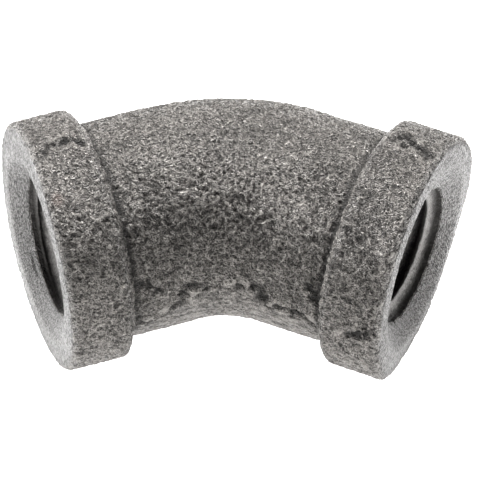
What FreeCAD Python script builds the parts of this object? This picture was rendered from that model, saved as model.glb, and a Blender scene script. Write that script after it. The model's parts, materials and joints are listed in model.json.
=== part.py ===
import FreeCAD, Part
import math
import os

import Sketcher

# A cast pipe elbow with a female taper thread in each end, millimetres.
# It lies on its side: +X to the right, +Y towards the outside of the bend, +Z up.
# The Body is drawn about the point where the two port axes cross, and its
# Placement then puts the middle of its underside at the document's origin.

doc = FreeCAD.newDocument("pipe_elbow")

DIMENSIONS = [
    ("turn_angle", 45.0, "angle between the two port axes, degrees"),
    ("centre_to_end", 20.6, "from the crossing of the axes to each end face"),
    ("bend_radius", 16.0, "radius of the centre line through the bend"),
    ("body_diameter", 21.6, "outside of the bend and of its straight ends"),
    ("band_diameter", 25.0, "outside of the band around each port"),
    ("band_length", 6.0, "from the end face to where the band's back slopes down"),
    ("shoulder_length", 1.0, "length of the slope behind each band"),
    ("face_rounding", 0.75, "rounding of each band's edge at the end face"),
    ("shoulder_rounding", 0.8, "rounding of each band's back edge"),
    ("root_fillet", 1.2, "fillet between the slope and the body"),
    ("face_hollow_diameter", 18.6, "outer edge of the shallow hollow in the end face"),
    ("face_hollow_depth", 1.5, "depth of that hollow at the hole"),
    ("mouth_diameter", 13.7, "hole at the bottom of the hollow"),
    ("thread_diameter", 11.11, "plain wall that the taper thread is cut into"),
    ("entry_length", 1.7, "length of the cone that leads into the thread"),
    ("thread_length", 8.2, "length of the plain wall"),
    ("chamber_slope", 0.9, "length of the cone from the thread to the chamber"),
    ("chamber_diameter", 13.2, "cored passage between the two threads"),
]

FULL_TURN = 360.0
RING_TOLERANCE = 0.01
VOLUME_TOLERANCE = 0.001

sheet = doc.addObject("Spreadsheet::Sheet", "Dimensions")
for row, (alias, value, meaning) in enumerate(DIMENSIONS, start=1):
    sheet.set(f"A{row}", alias)
    sheet.set(f"B{row}", str(value))
    sheet.set(f"C{row}", meaning)
    sheet.setAlias(f"B{row}", alias)
doc.recompute()

# Expressions over the sheet. Places are distances from the crossing along a port's axis.
HALF_TURN = "Dimensions.turn_angle / 2"
BODY_RADIUS = "Dimensions.body_diameter / 2"
BAND_RADIUS = "Dimensions.band_diameter / 2"
HOLLOW_RADIUS = "Dimensions.face_hollow_diameter / 2"
MOUTH_RADIUS = "Dimensions.mouth_diameter / 2"
THREAD_RADIUS = "Dimensions.thread_diameter / 2"
CHAMBER_RADIUS = "Dimensions.chamber_diameter / 2"
END = "Dimensions.centre_to_end"
BEND = "Dimensions.bend_radius"
FACE_ROUNDING = "Dimensions.face_rounding"
TANGENT = f"{BEND} * tan({HALF_TURN})"
BAND_BACK = f"{END} - Dimensions.band_length"
SHOULDER_FOOT = f"{BAND_BACK} - Dimensions.shoulder_length"
MOUTH = f"{END} - Dimensions.face_hollow_depth"
THREAD_START = f"{MOUTH} - Dimensions.entry_length"
THREAD_END = f"{THREAD_START} - Dimensions.thread_length"
CHAMBER = f"{THREAD_END} - Dimensions.chamber_slope"


def value_of(expression):
    """The number that an expression over the sheet gives."""
    return float(sheet.evalExpression(expression))


def origin_plane(body, role):
    """One of a body's own origin planes."""
    return next(part for part in body.Origin.OriginFeatures if part.Role == role)


def add_sketch(body, name, role):
    """A sketch on one of the body's own origin planes."""
    sketch = body.newObject("Sketcher::SketchObject", name)
    sketch.AttachmentSupport = [(origin_plane(body, role), "")]
    sketch.MapMode = "FlatFace"
    return sketch


def drive(sketch, constraint, name, expression):
    """Add a constraint to a sketch and bind its value to the sheet."""
    index = sketch.addConstraint(constraint)
    sketch.renameConstraint(index, name)
    sketch.setExpression(f"Constraints.{name}", expression)


def add_port_sketch(body, name, corners):
    """A closed half section of one port, with its x axis along the port's axis.

    Each corner is (name, distance along the axis, radius), as expressions.
    A radius of None is a corner on the axis.
    """
    sketch = add_sketch(body, name, "XY_Plane")
    turn = FreeCAD.Rotation(FreeCAD.Vector(0, 0, 1), -value_of(HALF_TURN))
    sketch.AttachmentOffset = FreeCAD.Placement(FreeCAD.Vector(), turn)
    sketch.setExpression(".AttachmentOffset.Rotation.Angle", f"-{HALF_TURN}")
    places = [
        FreeCAD.Vector(value_of(along), value_of(radius) if radius else 0.0, 0)
        for _, along, radius in corners
    ]
    count = len(places)
    for index in range(count):
        line = Part.LineSegment(places[index], places[(index + 1) % count])
        sketch.addGeometry(line, False)
    for index, (corner, along, radius) in enumerate(corners):
        before = (index - 1) % count
        sketch.addConstraint(Sketcher.Constraint("Coincident", before, 2, index, 1))
        across = Sketcher.Constraint("DistanceX", -1, 1, index, 1, value_of(along))
        drive(sketch, across, f"{corner}_along", along)
        if radius is None:
            sketch.addConstraint(Sketcher.Constraint("PointOnObject", index, 1, -1))
        else:
            up = Sketcher.Constraint("DistanceY", -1, 1, index, 1, value_of(radius))
            drive(sketch, up, f"{corner}_radius", radius)
    return sketch


def add_bend_sketch(body, name, radius):
    """A circle across the bend, with the sketch's origin on the bend's own axis."""
    sketch = add_sketch(body, name, "YZ_Plane")
    back = f"-{BEND} / cos({HALF_TURN})"
    sketch.AttachmentOffset = FreeCAD.Placement(
        FreeCAD.Vector(value_of(back), 0, 0), FreeCAD.Rotation()
    )
    sketch.setExpression(".AttachmentOffset.Base.x", back)
    centre = FreeCAD.Vector(value_of(BEND), 0, 0)
    circle = Part.Circle(centre, FreeCAD.Vector(0, 0, 1), value_of(radius))
    sketch.addGeometry(circle, False)
    sketch.addConstraint(Sketcher.Constraint("PointOnObject", 0, 3, -1))
    across = Sketcher.Constraint("DistanceX", -1, 1, 0, 3, value_of(BEND))
    drive(sketch, across, "centre_line", BEND)
    size = Sketcher.Constraint("Radius", 0, value_of(radius))
    drive(sketch, size, "tube_radius", radius)
    return sketch


def turn_feature(body, kind, name, sketch, axis, full):
    """A Revolution or Groove of a sketch about one of its own axes."""
    feature = body.newObject(f"PartDesign::{kind}", name)
    feature.Profile = sketch
    feature.ReferenceAxis = (sketch, [axis])
    feature.Midplane = not full
    feature.Angle = FULL_TURN if full else value_of("Dimensions.turn_angle")
    if not full:
        feature.setExpression("Angle", "Dimensions.turn_angle")
    feature.Refine = True
    body.Tip = feature
    doc.recompute()
    return feature


def mirror_feature(body, name, original):
    """The same feature at the other port."""
    feature = body.newObject("PartDesign::Mirrored", name)
    feature.Originals = [original]
    feature.MirrorPlane = (origin_plane(body, "YZ_Plane"), [""])
    feature.Refine = True
    body.Tip = feature
    doc.recompute()
    return feature


def rings_at(shape, along, radius):
    """Names of the round edges at one place on both port axes."""
    names = []
    for number, edge in enumerate(shape.Edges, start=1):
        curve = edge.Curve
        if not isinstance(curve, Part.Circle):
            continue
        same_radius = abs(curve.Radius - value_of(radius)) < RING_TOLERANCE
        same_place = abs(curve.Center.Length - value_of(along)) < RING_TOLERANCE
        if same_radius and same_place:
            names.append(f"Edge{number}")
    return names


def round_rings(body, name, along, radius, size):
    """A fillet on the same ring at both ports."""
    base = body.Tip
    rings = rings_at(base.Shape, along, radius)
    if len(rings) != 2:
        raise RuntimeError(f"{name}: found {len(rings)} rings, not 2")
    fillet = body.newObject("PartDesign::Fillet", name)
    fillet.Base = (base, rings)
    fillet.Radius = value_of(size)
    fillet.setExpression("Radius", size)
    body.Tip = fillet
    doc.recompute()
    return fillet


def cone_volume(length, radius_a, radius_b):
    """Volume of a frustum of a cone."""
    return math.pi * length * (radius_a**2 + radius_a * radius_b + radius_b**2) / 3


# --- the casting's outside: bend, then a straight end and band at each port
casting = doc.addObject("PartDesign::Body", "elbow_casting")
casting.Label = "elbow_casting"

bend_sketch = add_bend_sketch(casting, "bend_section", BODY_RADIUS)
turn_feature(casting, "Revolution", "bend", bend_sketch, "V_Axis", full=False)

port_sketch = add_port_sketch(
    casting,
    "port_section",
    [
        ("inner_axis", TANGENT, None),
        ("inner_rim", TANGENT, BODY_RADIUS),
        ("shoulder_foot", SHOULDER_FOOT, BODY_RADIUS),
        ("band_back", BAND_BACK, BAND_RADIUS),
        ("face_rim", END, BAND_RADIUS),
        ("face_axis", END, None),
    ],
)
port = turn_feature(casting, "Revolution", "port", port_sketch, "H_Axis", full=True)
mirror_feature(casting, "other_port", port)
round_rings(casting, "face_edges", END, BAND_RADIUS, FACE_ROUNDING)
round_rings(casting, "band_backs", BAND_BACK, BAND_RADIUS, "Dimensions.shoulder_rounding")
round_rings(casting, "shoulder_feet", SHOULDER_FOOT, BODY_RADIUS, "Dimensions.root_fillet")
outside_volume = casting.Shape.Volume

# --- the casting's inside: hollow face, entry cone, thread wall, cored chamber
chamber_sketch = add_bend_sketch(casting, "chamber_section", CHAMBER_RADIUS)
turn_feature(casting, "Groove", "chamber_bend", chamber_sketch, "V_Axis", full=False)

hole_sketch = add_port_sketch(
    casting,
    "hole_section",
    [
        ("inner_axis", TANGENT, None),
        ("inner_rim", TANGENT, CHAMBER_RADIUS),
        ("chamber", CHAMBER, CHAMBER_RADIUS),
        ("thread_end", THREAD_END, THREAD_RADIUS),
        ("thread_start", THREAD_START, THREAD_RADIUS),
        ("mouth", MOUTH, MOUTH_RADIUS),
        ("hollow_rim", END, HOLLOW_RADIUS),
        ("face_axis", END, None),
    ],
)
hole = turn_feature(casting, "Groove", "hole", hole_sketch, "H_Axis", full=True)
mirror_feature(casting, "other_hole", hole)

# --- the row's origin: middle of the underside of the casting's box
outer_side = f"{BODY_RADIUS} + {BEND} - {BEND} / cos({HALF_TURN})"
inner_side = (
    f"({END} - {FACE_ROUNDING}) * sin({HALF_TURN})"
    f" + ({BAND_RADIUS} - {FACE_ROUNDING}) * cos({HALF_TURN}) + {FACE_ROUNDING}"
)
casting.Placement = FreeCAD.Placement(
    FreeCAD.Vector(0, value_of(f"({inner_side} - ({outer_side})) / 2"), value_of(BAND_RADIUS)),
    FreeCAD.Rotation(),
)
casting.setExpression(".Placement.Base.y", f"({inner_side} - ({outer_side})) / 2")
casting.setExpression(".Placement.Base.z", BAND_RADIUS)
doc.recompute()

# --- checks, then the files
for item in doc.Objects:
    if "Invalid" in item.State or "Error" in item.State:
        raise RuntimeError(f"{item.Name} failed: {item.State}")

shape = casting.Shape
if shape.isNull() or not shape.isValid() or len(shape.Solids) != 1:
    raise RuntimeError("elbow_casting is not one valid solid")

# The material removed is compared with the hole's own volume, worked out here.
stations = [TANGENT, CHAMBER, THREAD_END, THREAD_START, MOUTH, END]
radii = [
    CHAMBER_RADIUS,
    CHAMBER_RADIUS,
    THREAD_RADIUS,
    THREAD_RADIUS,
    MOUTH_RADIUS,
    HOLLOW_RADIUS,
]
hole_volume = sum(
    cone_volume(
        value_of(stations[index + 1]) - value_of(stations[index]),
        value_of(radii[index]),
        value_of(radii[index + 1]),
    )
    for index in range(len(stations) - 1)
)
bend_length = value_of(BEND) * math.radians(value_of("Dimensions.turn_angle"))
bend_volume = math.pi * value_of(CHAMBER_RADIUS) ** 2 * bend_length
removed = outside_volume - shape.Volume
expected = 2 * hole_volume + bend_volume
if abs(removed - expected) > VOLUME_TOLERANCE * expected:
    raise RuntimeError(f"holes removed {removed:.1f} mm3, not {expected:.1f}")

box = shape.optimalBoundingBox()
print(f"volume {shape.Volume:.0f} mm3, of which the holes removed {removed:.0f} mm3")
for name, low, high in (
    ("X", box.XMin, box.XMax),
    ("Y", box.YMin, box.YMax),
    ("Z", box.ZMin, box.ZMax),
):
    print(f"{name} from {low:.3f} to {high:.3f} mm")

os.makedirs("parts", exist_ok=True)
shape.exportStep("parts/elbow_casting.step")
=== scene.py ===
"""A cast iron 45 degree pipe elbow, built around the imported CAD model.

The casting is one closed mesh. Its surface is a grid of rows and columns. Rows
follow a closed half section: out along the skin, over a port's face, through the
thread and back along the chamber, at one port and then at the other. Columns go
round the tube. Lengths are in millimetres until the mesh is made, then in metres.

A place is the distance along the elbow's centre line from the bend's middle,
positive towards port b. An angle goes round the tube from its underside.
"""

import json
import math

import bpy
import numpy as np
from mathutils import Matrix, Vector, noise


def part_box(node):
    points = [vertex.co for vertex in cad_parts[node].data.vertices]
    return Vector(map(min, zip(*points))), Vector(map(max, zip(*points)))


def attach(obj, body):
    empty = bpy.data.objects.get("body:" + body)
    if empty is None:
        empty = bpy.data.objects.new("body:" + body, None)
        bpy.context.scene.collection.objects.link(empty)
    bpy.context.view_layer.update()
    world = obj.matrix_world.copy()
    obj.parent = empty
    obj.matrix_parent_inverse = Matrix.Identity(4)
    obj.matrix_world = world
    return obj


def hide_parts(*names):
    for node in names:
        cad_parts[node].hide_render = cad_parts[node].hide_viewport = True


NODE = "elbow_casting"
MM = 0.001
# Lengths that differ by less than this, in millimetres, count as equal.
TINY = 1e-6

# Shape, in millimetres, as in the CAD model, but for the corners: sharper beside the
# bands and softer where the face turns into its hollow.
BEND_RADIUS = 16.0
BODY_RADIUS = 10.8
BAND_LENGTH = 6.0
SHOULDER_LENGTH = 1.0
FACE_ROUNDING = 0.68
SHOULDER_ROUNDING = 0.5
ROOT_FILLET = 0.45
HOLLOW_RADIUS = 9.3
HOLLOW_DEPTH = 1.5
HOLLOW_ROUNDING = 1.7
MOUTH_RADIUS = 6.85
CHAMBER_SLOPE = 0.9
CHAMBER_RADIUS = 6.6

# The right-hand 1/4-18 internal taper pipe thread, in millimetres.
THREAD_PITCH = 25.4 / 18
THREAD_HEIGHT = 0.8 * THREAD_PITCH
THREAD_CREST_RADIUS = 5.68
THREAD_TAPER = 1 / 32
THREAD_RUNOUT = 1.5 * THREAD_PITCH
# The mouth's wall is nearly straight, then slopes in to the thread.
RELIEF_DEPTH = 0.55
RELIEF_UNDERCUT = 0.05
RELIEF_SLOPE = 2.8
# Depth in the mouth of the first crest, on the bend's outer side, in port a and in port b.
FIRST_CREST_A = 1.75
FIRST_CREST_B = 0.97
# Depth of the tears that the tap left in the thread, and the size of their pattern.
THREAD_TEARS = 0.06
THREAD_TEAR_SIZE = 0.55
# Both mouths are cut a little out of square: how much, and towards which angle in degrees.
MOUTH_TILT = 0.25
MOUTH_TILT_ANGLE = 142.0
# The mouths' edges are chipped by up to this much.
MOUTH_CHIPS = 0.28
# The dish in port b's face is wider on one side.
DISH_OFFSET = 0.6
DISH_OFFSET_ANGLE = 243.0
# Each end is short on one side of its rim: how much, and where in degrees, at a and at b.
WEAR_A = (0.35, 135.0)
WEAR_B = (0.80, 18.0)

# Grid, in millimetres.
COLUMNS = 448
SKIN_STEP = 0.18
THREAD_STEP = 0.095
CHAMBER_STEP = 0.45

# What the rows belong to, and the material slot that each zone has.
SKIN, FACE, THREAD, CHAMBER = range(4)
THREAD_SLOT, CHAMBER_SLOT = 1, 2
SLOT_OF_ZONE = {SKIN: 0, FACE: 0, THREAD: THREAD_SLOT, CHAMBER: CHAMBER_SLOT}

# Share of the flat map's width that a millimetre of each gets.
ROOM_IN_ZONE = {SKIN: 1.0, FACE: 1.0, THREAD: 0.5, CHAMBER: 0.25}

# The sand-cast skin, in millimetres. It lies inside the CAD surface by this much.
SHALLOWEST = 0.025
DEEPEST = 0.60
SKIN_LEVEL = 0.18
GRAIN_IN_ZONE = {SKIN: 1.0, FACE: 0.32, THREAD: 0.0, CHAMBER: 1.0}
LUMPS = ((6.0, 0.07), (2.4, 0.04))
GRAIN = ((0.62, 0.078), (0.36, 0.062))

# Height of the lip above the parting line and of the knots on it, and the depth of the
# crack along it, of the groove behind each band and of a hairline crack.
LIP_HEIGHT = 0.05
KNOT_HEIGHT = 0.45
CRACK_DEPTH = 0.22
GROOVE_DEPTH = 0.16
GROOVE_WIDTH = 0.26
HAIRLINE_DEPTH = 0.4

# How far the parting line lies below the bend plane on the inner side, by place.
PARTING_PLACES = (-20.0, -12.0, -9.0, -7.0, -5.5, -2.0, 1.0, 4.0, 6.5, 8.5, 12.0, 20.0)
PARTING_DROPS = (3.0, 3.4, 1.6, 0.4, 0.1, 0.55, 0.8, 0.3, 0.2, 2.4, 2.3, 3.4)

# Scars in the skin: half width and depth, then points as place and angle in degrees.
SCARS = (
    (0.34, 0.36, (-19.4, 181.0), (-17.6, 177.5), (-16.0, 176.0), (-15.0, 181.0)),
    (0.38, 0.40, (15.2, 168.5), (16.0, 163.5), (17.0, 165.5), (16.4, 170.0)),
    (0.38, 0.44, (16.4, 172.0), (17.2, 169.0), (18.4, 170.0), (19.2, 174.0)),
    (0.34, 0.28, (16.8, 270.0), (18.2, 268.0), (19.6, 264.0)),
    (0.60, 0.26, (12.5, 256.0), (12.9, 262.0)),
    (0.48, 0.28, (6.8, 267.0), (7.8, 275.0)),
    (0.30, 0.26, (9.0, 277.0), (11.6, 277.0), (13.6, 284.0)),
    (0.45, 0.24, (-8.2, 266.0), (-8.5, 271.0)),
    (0.40, 0.18, (-12.8, 257.0), (-11.2, 263.0)),
    (0.80, 0.26, (14.6, 38.0), (15.8, 46.0)),
    (0.55, 0.22, (-6.4, 95.0), (-4.6, 99.0)),
)

# A hairline crack round port a's mouth: radius, first and last angle in degrees.
HAIRLINE = (7.7, 22.0, 41.0)

# A faint rust spot near port a's face: place and angle in degrees, and its radius.
RUST_SPOT = (-19.2, 206.0)
RUST_WIDTH = 0.9

# Colours. A pair goes from pits or roots to grains or crests.
# The upper skin runs from dark to pale partly with the iron's own grain, and partly as painted
# shade in its pits and painted glints on its high grains.
UPPER_DARK_GRAIN_AND_PIT_SHADE = (0.040, 0.037, 0.033)
UPPER_SKIN = (0.150, 0.140, 0.129)
UPPER_PALE_GRAIN_AND_GLINTS = (0.45, 0.421, 0.390)
LOWER_COLOURS = ((0.054, 0.050, 0.046), (0.36, 0.338, 0.314))
FACE_COLOURS = ((0.065, 0.062, 0.059), (0.39, 0.378, 0.368))
FACE_FLECKS = (0.035, 0.033, 0.031)
# Pale iron on the corners: partly rubbed by handling, partly a painted highlight along the edges.
RUBBED_IRON_AND_HIGHLIGHT = (0.52, 0.50, 0.48)
RUST = (0.20, 0.13, 0.105)
# Painted shade, laid in the cracks, the grooves behind the bands, the hollows by the parting line
# and the scars.
PAINTED_CREVICE_SHADE = (0.022, 0.020, 0.018)
# The thread's colour goes from painted shade in its roots and on the mouth's wall to painted light
# on its crests.
THREAD_ROOT_SHADE_AND_CREST_LIGHT = ((0.045, 0.042, 0.039), (0.30, 0.29, 0.28))
CHAMBER_COLOURS = ((0.055, 0.050, 0.046), (0.16, 0.146, 0.132))
PAPER = (0.86, 0.86, 0.86)
WHITE = (1.0, 1.0, 1.0)

# Camera: millimetres and degrees, about the crossing of the port axes.
CAMERA_DISTANCE = 275.3
CAMERA_TILT = 44.9
CAMERA_TURN = 1.33
CAMERA_ROLL = 1.78
CAMERA_OFFSET = (0.63, -4.18)
CAMERA_LENS = 209.4
CAMERA_NEAREST = 10.0

# Lights: name, place in metres, width in metres, power in watts.
LIGHTS = (
    ("top", (-0.10, 0.275, 0.36), 0.18, 6.2),
    ("left", (-0.38, 0.02, 0.13), 0.28, 0.05),
    ("right", (0.38, 0.02, 0.13), 0.28, 0.46),
    ("front", (-0.32, -0.32, 0.04), 0.25, 0.64),
)
# Where they aim and the floor's width, in metres; how bright the surround and the floor are.
AIM = (0, 0, 0.0125)
FLOOR_WIDTH = 4
SURROUND = 0.08
FLOOR_GLOW = 1.85


# --- sizes from the frame


def read_sizes(record):
    """The crossing of the port axes and the lengths that the frame gives."""
    mounts = {mount["name"]: mount for mount in record["mounts"]}
    thread = mounts["port_b"]
    axis = np.array(thread["axis"])
    middle = np.array(thread["pos_m"]) / MM
    crossing = middle - axis * middle[0] / axis[0]
    along = float((middle - crossing) @ axis)
    half_turn = math.atan2(-axis[1], axis[0])
    tangent = BEND_RADIUS * math.tan(half_turn)
    bend_half = BEND_RADIUS * half_turn
    end_face = np.array(mounts["end_face_b"]["pos_m"]) / MM
    end = bend_half + float((end_face - crossing) @ axis) - tangent
    low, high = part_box(NODE)
    band_radius = (high.z - low.z) / MM / 2
    return {
        "crossing": crossing,
        "half_turn": half_turn,
        "bend_half": bend_half,
        "end": end,
        "mouth": end - HOLLOW_DEPTH,
        "band_radius": band_radius,
        "face_edge": band_radius - FACE_ROUNDING,
        "entry_radius": thread["dims"]["r_mm"],
        "thread_end": bend_half + along - thread["dims"]["length_mm"] / 2 - tangent,
    }


# --- the half section's rows


def corner_arc(before, corner, after, rounding, step):
    """Points of the arc that rounds one corner of a line."""
    back = (before - corner) / np.linalg.norm(before - corner)
    ahead = (after - corner) / np.linalg.norm(after - corner)
    half = math.acos(np.clip(back @ ahead, -1, 1)) / 2
    reach = rounding / math.tan(half)
    middle = (back + ahead) / np.linalg.norm(back + ahead)
    centre = corner + middle * rounding / math.sin(half)
    start = corner + back * reach - centre
    finish = corner + ahead * reach - centre
    turn = math.pi - 2 * half
    way = math.copysign(1, start[0] * finish[1] - start[1] * finish[0])
    count = max(3, math.ceil(rounding * turn / step))
    points = []
    for k in range(count + 1):
        angle = way * turn * k / count
        cos, sin = math.cos(angle), math.sin(angle)
        spun = (cos * start[0] - sin * start[1], sin * start[0] + cos * start[1])
        points.append(centre + np.array(spun))
    return points


def rounded_line(corners, step):
    """Points at most a step apart along corners given as (place, radius, rounding)."""
    ends = [np.array(corner[:2], float) for corner in corners]
    points = [ends[0]]
    for k in range(1, len(corners) - 1):
        rounding = corners[k][2]
        if rounding:
            points += corner_arc(ends[k - 1], ends[k], ends[k + 1], rounding, step)
        else:
            points.append(ends[k])
    points.append(ends[-1])
    filled = [points[0]]
    for a, b in zip(points, points[1:]):
        count = max(1, math.ceil(np.linalg.norm(b - a) / step - TINY))
        filled += [a + (b - a) * k / count for k in range(1, count + 1)]
    return filled


def half_section(size):
    """Rows (place, radius, zone) from the bend's middle, over port b, to the chamber."""
    end, mouth = size["end"], size["mouth"]
    band_back = end - BAND_LENGTH
    chamber = size["thread_end"] - CHAMBER_SLOPE
    skin = rounded_line(
        [
            (0, BODY_RADIUS, 0),
            (band_back - SHOULDER_LENGTH, BODY_RADIUS, ROOT_FILLET),
            (band_back, size["band_radius"], SHOULDER_ROUNDING),
            (end, size["band_radius"], FACE_ROUNDING),
            (end, HOLLOW_RADIUS, HOLLOW_ROUNDING),
            (mouth, MOUTH_RADIUS, 0),
        ],
        SKIN_STEP,
    )
    thread = rounded_line([(mouth, MOUTH_RADIUS, 0), (chamber, MOUTH_RADIUS, 0)], THREAD_STEP)
    core = rounded_line([(chamber, CHAMBER_RADIUS, 0), (0, CHAMBER_RADIUS, 0)], CHAMBER_STEP)
    rows = []
    for place, radius in skin:
        on_face = place > mouth and radius < size["face_edge"] + TINY
        rows.append((place, radius, FACE if on_face else SKIN))
    rows += [(place, radius, THREAD) for place, radius in thread[1:-1]]
    rows += [(place, radius, CHAMBER) for place, radius in core]
    return rows


def whole_section(size):
    """The closed loop of rows through both ports, as arrays of place, radius and zone."""
    half = half_section(size)
    other = [(-place, radius, zone) for place, radius, zone in half[-2:0:-1]]
    places, radii, zones = zip(*(half + other))
    return np.array(places), np.array(radii), np.array(zones)


# --- from the section to points in space


def centre_line(places, size):
    """Points on the centre line, and the directions along it and across it."""
    turned = np.clip(places, -size["bend_half"], size["bend_half"])
    angle = turned / BEND_RADIUS
    flat = np.zeros_like(angle)
    across = np.stack([np.sin(angle), np.cos(angle), flat], axis=1)
    along = np.stack([np.cos(angle), -np.sin(angle), flat], axis=1)
    back = BEND_RADIUS / math.cos(size["half_turn"])
    bend_axis = size["crossing"] - np.array([0, back, 0])
    centre = bend_axis + BEND_RADIUS * across + (places - turned)[:, None] * along
    return centre, along, across


def thread_radii(places, angles, size):
    """Radius of the relief at the mouth, the taper thread and the slope behind it."""
    depth = (size["mouth"] - np.abs(places))[:, None]
    first_crest = np.where(places > 0, FIRST_CREST_B, FIRST_CREST_A)
    crest_place = np.sign(places) * (size["mouth"] - first_crest)
    outer_side = math.pi / 2
    turns = (places - crest_place)[:, None] / THREAD_PITCH
    turns = turns - (angles - outer_side)[None, :] / (2 * math.pi)
    wave = 1 - np.abs(2 * (turns % 1) - 1)
    wave = np.clip(1.08 * wave - 0.04, 0, 1)
    left = (np.abs(places) - size["thread_end"])[:, None]
    height = THREAD_HEIGHT * np.clip(left / THREAD_RUNOUT, 0, 1)
    crest = THREAD_CREST_RADIUS - depth * THREAD_TAPER
    cut = crest + wave * height
    straight = MOUTH_RADIUS + RELIEF_UNDERCUT * depth / RELIEF_DEPTH
    opening = MOUTH_RADIUS - (depth - RELIEF_DEPTH) * RELIEF_SLOPE
    relief = np.where(depth < RELIEF_DEPTH, straight, opening)
    slope = size["entry_radius"] + (CHAMBER_RADIUS - size["entry_radius"]) * (-left / CHAMBER_SLOPE)
    return np.maximum(np.maximum(relief, cut), slope), crest


def row_normals(places, radii):
    """Direction out of the metal at each row, as shares along and away from the axis."""
    step_place = np.roll(places, -1) - np.roll(places, 1)
    step_radius = np.roll(radii, -1) - np.roll(radii, 1)
    length = np.hypot(step_place, step_radius)
    return -step_radius / length, step_place / length


# --- the sand-cast skin


def soft_noise(points, size, seed):
    """Smooth noise between about -1 and 1 with bumps of the given size."""
    spread = (points / size + 17.3 * seed).tolist()
    return np.array([noise.noise(point) for point in spread])


def ridges(points, size, seed):
    """Thin winding ridges, from 0 between them to 1 on top."""
    return np.clip(1 - 2.4 * np.abs(soft_noise(points, size, seed)), 0, 1)


def warped(points, size, seed):
    """The same points, each pushed a little way so that patterns on them wander."""
    push = np.stack([soft_noise(points, size, seed + k) for k in range(3)], axis=1)
    return points + 0.35 * size * push


def smooth_step(low, high, value):
    """0 below low, 1 above high and a smooth change between them."""
    t = np.clip((value - low) / (high - low), 0, 1)
    return t * t * (3 - 2 * t)


def bell(value, middle, width):
    """1 at the middle, falling to nothing a few widths away."""
    return np.exp(-(((value - middle) / width) ** 2))


def parting_height(points, places, angles, size):
    """Height above the parting line, along the side of the casting."""
    inner = np.interp(places, PARTING_PLACES, PARTING_DROPS)
    outer = 0.5 + 0.4 * soft_noise(points, 5.0, 21)
    drop = np.where(np.sin(angles) < 0, inner, outer)
    ragged = 0.40 * soft_noise(points, 1.5, 22) + 0.22 * soft_noise(points, 0.5, 23)
    return points[:, 2] - size["crossing"][2] + drop + ragged


def around_from(angles, degrees):
    """Angle from a given direction, between minus and plus half a turn."""
    return (angles - math.radians(degrees) + math.pi) % (2 * math.pi) - math.pi


def scar_distance(places, angles, points):
    """Distance along the skin to a line through points given as place and degrees."""
    spots = [(place, math.radians(degrees) * BODY_RADIUS) for place, degrees in points]
    around = (angles % (2 * math.pi)) * BODY_RADIUS
    nearest = np.full_like(places, np.inf)
    for (place, turned), (next_place, next_turned) in zip(spots, spots[1:]):
        run, rise = next_place - place, next_turned - turned
        share = ((places - place) * run + (around - turned) * rise) / (run**2 + rise**2)
        share = np.clip(share, 0, 1)
        far = np.hypot(places - place - share * run, around - turned - share * rise)
        nearest = np.minimum(nearest, far)
    return nearest


def skin_relief(points, places, radii, angles, faces, size):
    """Height of the sand-cast skin, in millimetres, and what its shading needs."""
    wandering = warped(points, 1.2, 30)
    lumps = sum(tall * soft_noise(points, wide, 2 + k) for k, (wide, tall) in enumerate(LUMPS))
    grain = sum(
        tall * (2 * ridges(wandering, wide, 6 + k) - 1) for k, (wide, tall) in enumerate(GRAIN)
    )
    above = parting_height(points, places, angles, size)
    on_band = radii > BODY_RADIUS + 0.5
    inner_side = 0.7 - 0.3 * np.sin(angles)
    smooth = smooth_step(0.12, -0.18, above) * (1 - 0.7 * on_band) * inner_side
    streak_points = np.stack([places / 1.3, angles * BODY_RADIUS / 0.26, 0 * places], axis=1)
    streaks = soft_noise(streak_points, 1.0, 9)
    knots = soft_noise(points, 1.1, 12)
    on_side = ~faces * (1 - 0.8 * on_band)
    lip = bell(above, 0.75, 0.75) * (LIP_HEIGHT + KNOT_HEIGHT * knots) * on_side * inner_side
    crack = bell(above, 0.10, 0.15) * smooth_step(-0.30, 0.30, soft_noise(points, 1.6, 14))
    crack *= on_side
    height = lumps + lip - CRACK_DEPTH * crack + 0.05 * smooth
    height += grain * (1 - 0.45 * smooth) + 0.05 * streaks * smooth
    hollows = bell(above, 0.9, 0.8) * smooth_step(-0.05, -0.40, knots) * on_side
    # Painted shade in the crack along the parting line and in the hollows above it.
    painted_crevice_shade = np.maximum(crack, 0.7 * hollows)

    root = size["end"] - BAND_LENGTH - SHOULDER_LENGTH
    groove = bell(np.abs(places), root + 0.12 * knots, GROOVE_WIDTH) * (radii > BODY_RADIUS - 1)
    height -= GROOVE_DEPTH * groove
    # Painted shade in the groove behind each band.
    painted_crevice_shade = np.maximum(painted_crevice_shade, groove * (0.52 + 0.6 * knots))

    frayed = 0.7 * soft_noise(points, 0.9, 16) + 0.8 * soft_noise(points, 0.4, 17)
    pitted = 0.38 + 0.9 * ridges(points, 0.55, 18)
    off_face = np.where(faces, smooth_step(HOLLOW_RADIUS, size["face_edge"], radii), 1)
    for wide, deep, *spots in SCARS:
        far = scar_distance(places, angles, spots) + frayed * (0.16 + wide)
        torn = bell(far, 0, wide) * pitted * off_face
        brim = bell(far, 0.25 + 1.4 * wide, 0.3) * off_face
        height += 0.30 * deep * brim * (1 + 2 * knots) - deep * torn
        # Painted shade in the torn middle of each scar.
        painted_crevice_shade = np.maximum(painted_crevice_shade, 0.90 * smooth_step(0.18, 0.75, torn))

    radius, first, last = HAIRLINE
    middle, half = (first + last) / 2, math.radians(last - first) / 2
    along_crack = smooth_step(1.4 * half, 0.6 * half, np.abs(around_from(angles, middle)))
    hairline = bell(radii + 0.12 * knots, radius, 0.10) * along_crack * (places < 0)
    height -= HAIRLINE_DEPTH * hairline
    # Painted shade in the hairline crack.
    painted_crevice_shade = np.maximum(painted_crevice_shade, 0.9 * hairline)
    return height, smooth, 0.5 + streaks, np.clip(painted_crevice_shade, 0, 1)


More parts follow.
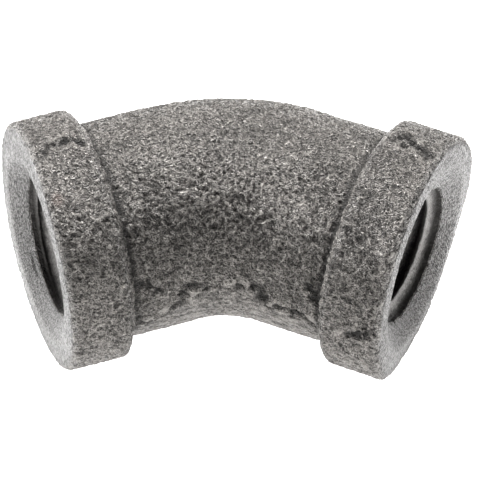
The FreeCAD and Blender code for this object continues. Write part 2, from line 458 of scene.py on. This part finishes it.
def worn_and_highlit_edges(places, radii, size):
    """1 along the corners that handling rubs bright and that take a painted highlight, and 0
    elsewhere.
    """
    far = np.abs(places)
    on_band = radii > size["band_radius"] - 0.8
    corner = bell(far, size["end"] - 0.15, 0.30) * on_band
    shoulder = bell(far, size["end"] - BAND_LENGTH + 0.15, 0.28) * on_band
    dish = bell(radii, HOLLOW_RADIUS + 0.1, 0.30) * (far > size["mouth"])
    return np.maximum(np.maximum(corner, 0.8 * shoulder), 0.35 * dish)


def end_shifts(places, radii, angles, size):
    """How far the ends are out of true, along and across the axis, by row and column."""
    outer = smooth_step(HOLLOW_RADIUS - 1, HOLLOW_RADIUS + 1.5, radii)
    wear = 0
    for way, (deep, degrees) in ((-1, WEAR_A), (1, WEAR_B)):
        near_end = smooth_step(size["end"] - BAND_LENGTH, size["end"], way * places)
        worn_side = smooth_step(0.0, 1.0, np.cos(around_from(angles, degrees)))
        wear = wear + way * deep * (near_end * outer)[:, None] * worn_side[None, :]

    mouth = size["mouth"]
    at_mouth = smooth_step(mouth - 1.6, mouth - 0.2, np.abs(places))
    at_mouth = at_mouth * smooth_step(HOLLOW_RADIUS, MOUTH_RADIUS, radii)
    tilt = MOUTH_TILT * at_mouth[:, None] * np.cos(around_from(angles, MOUTH_TILT_ANGLE))[None, :]

    in_dish = bell(radii, HOLLOW_RADIUS, 1.3) * (places > mouth + TINY)
    wide_side = smooth_step(0.0, 1.0, np.cos(around_from(angles, DISH_OFFSET_ANGLE)))
    across = DISH_OFFSET * in_dish[:, None] * wide_side[None, :]

    far = np.hypot(np.abs(places) - mouth, radii - MOUTH_RADIUS)
    rim = MOUTH_RADIUS * np.stack([np.cos(angles), np.sin(angles), 0 * angles], axis=1)
    for way, seed in ((-1, 41), (1, 43)):
        chips = 0.6 * soft_noise(rim, 1.1, seed) + 0.5 * soft_noise(rim, 0.4, seed + 1)
        at_edge = bell(far, 0, 0.35) * (way * places > 0)
        across = across + MOUTH_CHIPS * at_edge[:, None] * chips[None, :]
    return tilt - wear, across


# --- the casting


def row_blend(values, rows):
    """A value for each row, averaged over its neighbours round the closed section."""
    kernel = np.ones(rows) / rows
    half = rows // 2
    wrapped = np.concatenate([values[-half:], values, values[:half]])
    return np.convolve(wrapped, kernel, mode="valid")


def add_bake_map(mesh, places, radii, zones):
    """A flat map of the grid: rows across it and columns up it, with less room inside."""
    step_place = np.roll(places, -1) - places
    step_radius = np.roll(radii, -1) - radii
    room = np.array([ROOM_IN_ZONE[zone] for zone in zones])
    spans = np.hypot(step_place, step_radius) * room
    starts = np.concatenate([[0], np.cumsum(spans)]) / spans.sum()
    row = np.arange(len(places))[:, None, None]
    column = np.arange(COLUMNS)[None, :, None]
    across = starts[row + np.array([0, 1, 1, 0])] + 0 * column
    up = (column + np.array([0, 0, 1, 1])) / COLUMNS + 0 * row
    flat = np.stack([across, up], axis=-1)
    layer = mesh.uv_layers.new(name="OFBake")
    layer.data.foreach_set("uv", flat.ravel())


def thread_wall(places, angles, size):
    """Radius of the threads' wall, and 1 at its crests down to 0 at its roots."""
    cut, crest = thread_radii(places, angles, size)
    wall = [
        np.repeat(places, COLUMNS),
        np.tile(MOUTH_RADIUS * np.cos(angles), len(places)),
        np.tile(MOUTH_RADIUS * np.sin(angles), len(places)),
    ]
    tears = ridges(np.stack(wall, axis=1), THREAD_TEAR_SIZE, 47).reshape(cut.shape)
    return cut + THREAD_TEARS * tears, np.clip(1 - (cut - crest) / THREAD_HEIGHT, 0, 1)


def clean_surface(places, radii, zones, angles, size):
    """Points of the casting before its rough skin, their normals, and how near a crest."""
    radius_grid = np.repeat(radii[:, None], COLUMNS, axis=1)
    crest_light_share = np.zeros_like(radius_grid)
    threaded = zones == THREAD
    radius_grid[threaded], crest_light_share[threaded] = thread_wall(places[threaded], angles, size)

    centre, along, across = centre_line(places, size)
    up = np.array([0.0, 0.0, 1.0])
    outward = np.sin(angles)[None, :, None] * across[:, None, :]
    outward = outward - np.cos(angles)[None, :, None] * up
    points = centre[:, None, :] + radius_grid[:, :, None] * outward
    share_along, share_out = row_normals(places, radii)
    normals = share_along[:, None, None] * along[:, None, :] + share_out[:, None, None] * outward
    shift_along, shift_across = end_shifts(places, radii, angles, size)
    points += shift_along[:, :, None] * along[:, None, :] + shift_across[:, :, None] * outward
    return points.reshape(-1, 3), normals.reshape(-1, 3), crest_light_share.ravel()


def sink_skin(points, normals, places, radii, zones, angles, size):
    """Sink the points into the rough skin, and give what its shading needs at each."""
    grain_of_row = row_blend(np.array([GRAIN_IN_ZONE[zone] for zone in zones]), 5)
    grain_share = np.repeat(grain_of_row, COLUMNS)
    coarse = grain_share > 0
    relief = skin_relief(
        points[coarse],
        np.repeat(places, COLUMNS)[coarse],
        np.repeat(radii, COLUMNS)[coarse],
        np.tile(angles, len(places))[coarse],
        np.repeat(zones == FACE, COLUMNS)[coarse],
        size,
    )
    depth = np.clip((SKIN_LEVEL - relief[0]) * grain_share[coarse], SHALLOWEST, DEEPEST)
    points[coarse] -= normals[coarse] * depth[:, None]
    attributes = {}
    for name, values in zip(("relief", "smooth", "streak", "painted_crevice_shade"), relief):
        attributes[name] = np.zeros(len(points))
        attributes[name][coarse] = values
    return attributes


def rust_share(places, angles):
    """1 in the rust spot, fading to 0 round it."""
    place, degrees = RUST_SPOT
    around = around_from(angles[None, :], degrees) * BODY_RADIUS
    far = np.hypot((places - place)[:, None], around)
    return smooth_step(RUST_WIDTH, 0.3 * RUST_WIDTH, far)


def grid_quads(row_count):
    """Corners of the quads between the rows, which close both ways."""
    row = np.arange(row_count)[:, None]
    column = np.arange(COLUMNS)[None, :]
    next_row = (row + 1) % row_count
    next_column = (column + 1) % COLUMNS
    corners = [
        row * COLUMNS + column,
        next_row * COLUMNS + column,
        next_row * COLUMNS + next_column,
        row * COLUMNS + next_column,
    ]
    return np.stack(corners, axis=-1).reshape(-1, 4)


def quad_slots(zones):
    """The material slot of each quad, from the zones of the two rows that it joins."""
    slots = np.array([SLOT_OF_ZONE[zone] for zone in zones])
    row_slots = np.maximum(slots, np.roll(slots, -1))
    row_slots[(row_slots == CHAMBER_SLOT) & (np.roll(zones, -1) == THREAD)] = THREAD_SLOT
    return np.repeat(row_slots, COLUMNS).astype(np.int32)


def closed_mesh(name, points, quads, slots):
    """A smooth-shaded mesh of quads, from points in millimetres."""
    mesh = bpy.data.meshes.new(name)
    mesh.vertices.add(len(points))
    mesh.vertices.foreach_set("co", (points * MM).ravel())
    mesh.loops.add(quads.size)
    mesh.loops.foreach_set("vertex_index", quads.ravel())
    mesh.polygons.add(len(quads))
    mesh.polygons.foreach_set("loop_start", np.arange(0, quads.size, 4))
    mesh.polygons.foreach_set("material_index", slots)
    mesh.update(calc_edges=True)
    mesh.validate()
    mesh.polygons.foreach_set("use_smooth", np.ones(len(quads), bool))
    return mesh


def make_casting(size):
    """The whole casting as one piece, with what its materials need at each vertex."""
    places, radii, zones = whole_section(size)
    angles = np.linspace(0, 2 * math.pi, COLUMNS, endpoint=False)
    points, normals, crest_light_share = clean_surface(places, radii, zones, angles, size)
    attributes = sink_skin(points, normals, places, radii, zones, angles, size)
    attributes["face"] = np.repeat(row_blend((zones == FACE).astype(float), 3), COLUMNS)
    attributes["crest_light_share"] = crest_light_share
    attributes["wear_and_highlight"] = np.repeat(worn_and_highlit_edges(places, radii, size), COLUMNS)
    attributes["rust"] = rust_share(places, angles).ravel()

    mesh = closed_mesh("elbow_skin", points, grid_quads(len(places)), quad_slots(zones))
    for name, values in attributes.items():
        mesh.attributes.new(name, "FLOAT", "POINT").data.foreach_set("value", values)
    add_bake_map(mesh, places, radii, zones)
    piece = bpy.data.objects.new("elbow_skin", mesh)
    bpy.context.scene.collection.objects.link(piece)
    return piece


# --- materials


class Nodes:
    """Adds nodes to a new material and joins them up."""

    def __init__(self, name):
        self.material = bpy.data.materials.new(name)
        self.material.use_nodes = True
        self.tree = self.material.node_tree
        self.shader = self.tree.nodes["Principled BSDF"]

    def put(self, socket, value):
        """Set an input to a number or colour, or join an output to it."""
        if isinstance(value, bpy.types.NodeSocket):
            self.tree.links.new(value, socket)
        elif isinstance(value, tuple) and len(value) == 3 and socket.type == "RGBA":
            socket.default_value = (*value, 1)
        else:
            socket.default_value = value

    def add(self, kind, inputs=(), **settings):
        """A node with its settings made and its inputs filled, by name or number."""
        made = self.tree.nodes.new(kind)
        for name, value in settings.items():
            setattr(made, name, value)
        for name, value in dict(inputs).items():
            self.put(made.inputs[name], value)
        return made

    def surface(self, **inputs):
        """Fill the shader's own inputs."""
        for name, value in inputs.items():
            self.put(self.shader.inputs[name.replace("_", " ").title()], value)

    def math(self, operation, first, second=0.0, third=0.0):
        """One sum on numbers."""
        made = self.add("ShaderNodeMath", {0: first, 1: second, 2: third}, operation=operation)
        return made.outputs[0]

    def ramp(self, value, low, high):
        """0 where a value is low and 1 where it is high, clamped."""
        inputs = {"Value": value, "From Min": low, "From Max": high}
        made = self.add("ShaderNodeMapRange", inputs, interpolation_type="SMOOTHSTEP")
        return made.outputs["Result"]

    def mix(self, share, first, second):
        """Two numbers mixed."""
        made = self.add("ShaderNodeMix", {"Factor": share, "A": first, "B": second})
        return made.outputs["Result"]

    def blend(self, share, first, second):
        """Two colours mixed."""
        made = self.add("ShaderNodeMix", data_type="RGBA")
        for socket, value in zip((0, 6, 7), (share, first, second)):
            self.put(made.inputs[socket], value)
        return made.outputs[2]

    def attribute(self, name):
        """A number that the mesh carries at each vertex."""
        return self.add("ShaderNodeAttribute", attribute_name=name).outputs["Fac"]

    def place(self, scale=(1, 1, 1)):
        """Position on the object in millimetres, stretched by a scale."""
        coordinates = self.add("ShaderNodeTexCoord").outputs["Object"]
        stretch = tuple(share / MM for share in scale)
        return self.add("ShaderNodeMapping", {"Vector": coordinates, "Scale": stretch}).outputs[0]

    def noise(self, where, size, detail=2.0, rough=0.5, warp=0.0):
        """Noise with patches of a given size in millimetres, about 0 to 1."""
        inputs = {
            "Vector": where,
            "Scale": 1 / size,
            "Detail": detail,
            "Roughness": rough,
            "Distortion": warp,
        }
        made = self.add("ShaderNodeTexNoise", inputs, normalize=True)
        return made.outputs["Fac"]

    def bump(self, height, deep):
        """Small relief, deep millimetres from height 0 to height 1."""
        inputs = {"Height": height, "Distance": deep * MM, "Strength": 1.0}
        return self.add("ShaderNodeBump", inputs).outputs["Normal"]


def cast_skin_material():
    """Grey-black cast skin, with paler and finer end faces and a smoother lower half."""
    make = Nodes("cast_skin")
    where = make.place()
    coarse = make.noise(where, 0.30, 2.0, 0.65, warp=0.6)
    winding = make.noise(where, 0.33, 1.0, 0.5, warp=1.0)
    winding = make.math("ABSOLUTE", make.math("SUBTRACT", winding, 0.5))
    winding = make.ramp(winding, 0.16, 0.0)
    specks = make.noise(where, 0.13, 1.0, 0.6)
    bumps = make.math("MULTIPLY_ADD", winding, 0.38, coarse)
    grain = make.math("MULTIPLY_ADD", specks, 0.9, bumps)
    # The skin's height goes into the level, so that low pits take painted shade and high grains
    # take painted glints.
    relief = make.attribute("relief")
    level = make.math("MULTIPLY_ADD", relief, 1.3, grain)
    smooth = make.attribute("smooth")
    dark = make.blend(make.ramp(level, 0.80, 1.12), UPPER_DARK_GRAIN_AND_PIT_SHADE, UPPER_SKIN)
    skin = make.blend(make.ramp(level, 1.09, 1.42), dark, UPPER_PALE_GRAIN_AND_GLINTS)
    lower = make.math("MULTIPLY_ADD", specks, 1.2, make.attribute("streak"))
    lower = make.blend(make.ramp(lower, 0.82, 1.38), *LOWER_COLOURS)
    skin = make.blend(make.math("MULTIPLY", smooth, 0.60), skin, lower)

    streak_place = make.place((1.6, 1.6, 0.45))
    streaks = make.noise(streak_place, 0.22, 3.0, 0.75)
    flecks = make.noise(streak_place, 0.15, 1.0, 0.5)
    face = make.blend(make.ramp(streaks, 0.41, 0.55), *FACE_COLOURS)
    face = make.blend(make.ramp(flecks, 0.54, 0.60), face, FACE_FLECKS)
    frayed = make.math("MULTIPLY_ADD", make.noise(where, 0.8), 0.6, make.attribute("face"))
    face_share = make.ramp(frayed, 0.70, 1.10)
    colour = make.blend(face_share, skin, face)
    # The corners' grains turn pale, partly rubbed metal and partly a painted highlight along the
    # edges.
    rubbed_and_highlit = make.math("MULTIPLY", make.attribute("wear_and_highlight"), make.ramp(grain, 0.9, 1.3))
    colour = make.blend(make.math("MULTIPLY", rubbed_and_highlit, 0.5), colour, RUBBED_IRON_AND_HIGHLIGHT)
    rusty = make.math("MULTIPLY", make.attribute("rust"), 0.4)
    colour = make.blend(rusty, colour, RUST)
    # Painted shade in the cracks, grooves, hollows and scars.
    colour = make.blend(make.attribute("painted_crevice_shade"), colour, PAINTED_CREVICE_SHADE)

    face_height = make.math("MULTIPLY_ADD", streaks, 0.9, make.math("MULTIPLY", flecks, -0.6))
    fine_bumps = make.math("MULTIPLY_ADD", specks, 0.35, bumps)
    height = make.mix(face_share, fine_bumps, face_height)
    height = make.mix(make.math("MULTIPLY", smooth, 0.35), height, 0.5)
    make.surface(
        base_color=colour,
        metallic=0.15,
        roughness=make.mix(make.ramp(level, 0.8, 1.3), 0.62, 0.36),
        normal=make.bump(height, 0.84),
    )
    return make.material


def thread_material():
    """Cut metal, grey with painted light on the crests and black with painted shade in the roots.
    """
    make = Nodes("cut_thread")
    where = make.place()
    # Patches that push the thread's colour towards the crests' painted light, and make it rougher.
    wear_and_highlight = make.noise(where, 0.6, 3.0, 0.65)
    grit = make.noise(where, 0.20, 2.0, 0.7)
    # Painted shade towards the roots and painted light towards the crests.
    near_crest = make.math("SUBTRACT", make.attribute("crest_light_share"), 0.7)
    share = make.math("MULTIPLY_ADD", wear_and_highlight, 1.0, near_crest)
    share = make.math("MULTIPLY_ADD", grit, 1.1, share)
    colour = make.blend(make.ramp(share, 0.40, 1.35), *THREAD_ROOT_SHADE_AND_CREST_LIGHT)
    make.surface(
        base_color=colour,
        metallic=0.35,
        roughness=make.mix(wear_and_highlight, 0.40, 0.65),
        normal=make.bump(grit, 0.22),
    )
    return make.material


def chamber_material():
    """The cored passage behind the threads: dark, rough cast iron."""
    make = Nodes("cored_passage")
    where = make.place()
    grain = make.noise(where, 0.6, 4.0, 0.6)
    colour = make.blend(make.ramp(grain, 0.35, 0.65), *CHAMBER_COLOURS)
    make.surface(
        base_color=colour,
        metallic=0.1,
        roughness=0.75,
        normal=make.bump(grain, 0.2),
    )
    return make.material


def floor_material():
    """White studio paper that glows a little, as a light table does."""
    make = Nodes("studio_floor")
    make.surface(
        base_color=PAPER,
        roughness=0.9,
        emission_color=WHITE,
        emission_strength=FLOOR_GLOW,
    )
    return make.material


def add_camera(size):
    """A long lens that looks down on the inner side of the bend."""
    data = bpy.data.cameras.new("camera")
    data.lens = CAMERA_LENS
    camera = bpy.data.objects.new("camera", data)
    turn = (
        Matrix.Rotation(math.radians(CAMERA_TILT), 3, "X")
        @ Matrix.Rotation(math.radians(CAMERA_TURN), 3, "Y")
        @ Matrix.Rotation(math.radians(CAMERA_ROLL), 3, "Z")
    )
    crossing = Vector(size["crossing"]) * MM
    place = crossing + turn @ Vector((*CAMERA_OFFSET, CAMERA_DISTANCE)) * MM
    camera.matrix_world = Matrix.LocRotScale(place, turn, None)
    data.clip_start = CAMERA_NEAREST * MM
    bpy.context.scene.collection.objects.link(camera)
    bpy.context.scene.camera = camera


def add_light(name, place, width, power):
    """A square soft light, aimed at the object's middle."""
    data = bpy.data.lights.new(name, "AREA")
    data.shape = "SQUARE"
    data.size = width
    data.energy = power
    light = bpy.data.objects.new(name, data)
    light.location = place
    aim = Vector(AIM) - Vector(place)
    light.rotation_euler = aim.to_track_quat("-Z", "Y").to_euler()
    bpy.context.scene.collection.objects.link(light)


def add_studio():
    """A pale floor, soft lights above, at both sides and in front, and a dim surround."""
    bpy.ops.mesh.primitive_plane_add(size=FLOOR_WIDTH, location=(0, 0, 0))
    floor = bpy.context.object
    floor.name = "floor"
    floor.data.materials.append(floor_material())
    for name, place, width, power in LIGHTS:
        add_light(name, place, width, power)
    world = bpy.data.worlds.new("studio")
    world.use_nodes = True
    background = world.node_tree.nodes["Background"]
    background.inputs["Strength"].default_value = SURROUND
    background.inputs["Color"].default_value = (*WHITE, 1)
    bpy.context.scene.world = world
    bpy.context.scene.view_settings.view_transform = "Standard"


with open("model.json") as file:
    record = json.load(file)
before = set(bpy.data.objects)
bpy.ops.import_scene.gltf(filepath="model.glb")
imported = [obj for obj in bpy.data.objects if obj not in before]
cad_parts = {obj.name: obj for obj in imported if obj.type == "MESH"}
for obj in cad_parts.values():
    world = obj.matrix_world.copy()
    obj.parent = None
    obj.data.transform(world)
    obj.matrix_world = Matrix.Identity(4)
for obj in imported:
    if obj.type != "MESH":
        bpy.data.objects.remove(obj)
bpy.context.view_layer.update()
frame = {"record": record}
size = read_sizes(frame["record"])
elbow = make_casting(size)
for material in (cast_skin_material(), thread_material(), chamber_material()):
    elbow.data.materials.append(material)
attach(elbow, "root")
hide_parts(NODE)
add_camera(size)
add_studio()
